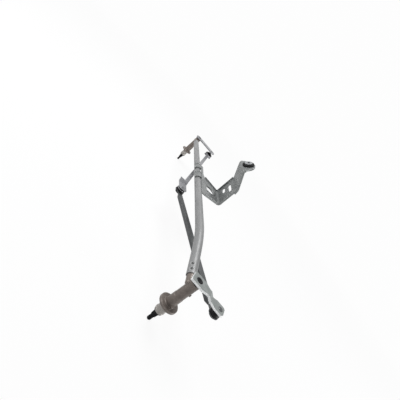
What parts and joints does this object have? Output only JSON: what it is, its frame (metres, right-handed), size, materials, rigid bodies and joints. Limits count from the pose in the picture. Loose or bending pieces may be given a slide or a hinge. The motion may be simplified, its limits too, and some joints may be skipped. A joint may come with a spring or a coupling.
{
  "type": "vehicle wiper linkage",
  "caption": "Vehicle wiper linkage: bent tube frame with cast pivot housings, spindles and levers, ball-jointed pressed link rods and a folded motor bracket with a rubber bush.",
  "frame": {"origin": "on the near pivot axis, at the seat face of the near housing's flange", "axes": "+X from the near pivot to the far pivot, -Z along the spindles towards their threaded tips, +Y completes the right-handed set"},
  "size_m": [0.8168, 0.1266, 0.2582],
  "materials": {
    "tube_steel": "galvanised, dull",
    "cast_alloy": "rough die casting",
    "bracket_steel": "pressed, zinc plated",
    "lever_steel": "pressed, zinc plated",
    "link_steel": "pressed, dark zinc plated",
    "bright_steel": "bright, turned",
    "black_steel": "black phosphated",
    "bronze": "sintered bronze",
    "rubber": "matt",
    "black_plastic": "moulded"
  },
  "bodies": {
    "frame": {"main_tube": "tube_steel", "near_housing": "cast_alloy", "far_housing": "cast_alloy", "near_bearing_upper": "bronze", "near_bearing_lower": "bronze", "far_bearing_upper": "bronze", "far_bearing_lower": "bronze", "near_seal": "rubber", "far_seal": "rubber", "motor_bracket": "bracket_steel", "rubber_bush": "rubber", "bush_sleeve": "bright_steel"},
    "near_arm": {"near_spindle": "black_steel", "near_lever": "lever_steel", "near_ball_stud": "bright_steel", "near_thrust_washer": "black_plastic", "near_shim": "black_steel", "near_circlip": "black_steel"},
    "far_arm": {"far_spindle": "black_steel", "far_lever": "lever_steel", "far_ball_stud": "bright_steel", "far_thrust_washer": "black_plastic", "far_shim": "black_steel", "far_circlip": "black_steel"},
    "near_link": {"near_link_rod": "link_steel", "near_socket_lever": "black_plastic", "near_socket_crank": "black_plastic"},
    "far_link": {"far_link_rod": "link_steel", "far_socket_lever": "black_plastic", "crank_stud": "bright_steel"}
  },
  "joints": [
    {"name": "near_pivot", "type": "hinge", "parent": "frame", "child": "near_arm", "pos_m": [0, 0, 0], "axis": [0, 0, 1], "range_deg": [-15, 65]},
    {"name": "far_pivot", "type": "hinge", "parent": "frame", "child": "far_arm", "pos_m": [0.766, 0, 0], "axis": [0, 0, 1], "range_deg": [-13.27, 57.49]},
    {"name": "near_link_joint", "type": "hinge", "parent": "near_arm", "child": "near_link", "pos_m": [-0.01971, -0.05135, 0.0555], "axis": [0, 0, 1], "range_deg": [-68.48, 15.8]},
    {"name": "far_link_joint", "type": "hinge", "parent": "far_arm", "child": "far_link", "pos_m": [0.74091, -0.06535, 0.057], "axis": [0, 0, 1], "range_deg": [-54.93, 12.68]}
  ],
  "couplings": [
    {"joint": "far_pivot", "follows": "near_pivot", "ratio": 0.8844},
    {"joint": "near_link_joint", "follows": "near_pivot", "ratio": -1.0536},
    {"joint": "far_link_joint", "follows": "near_pivot", "ratio": -0.8451}
  ]
}
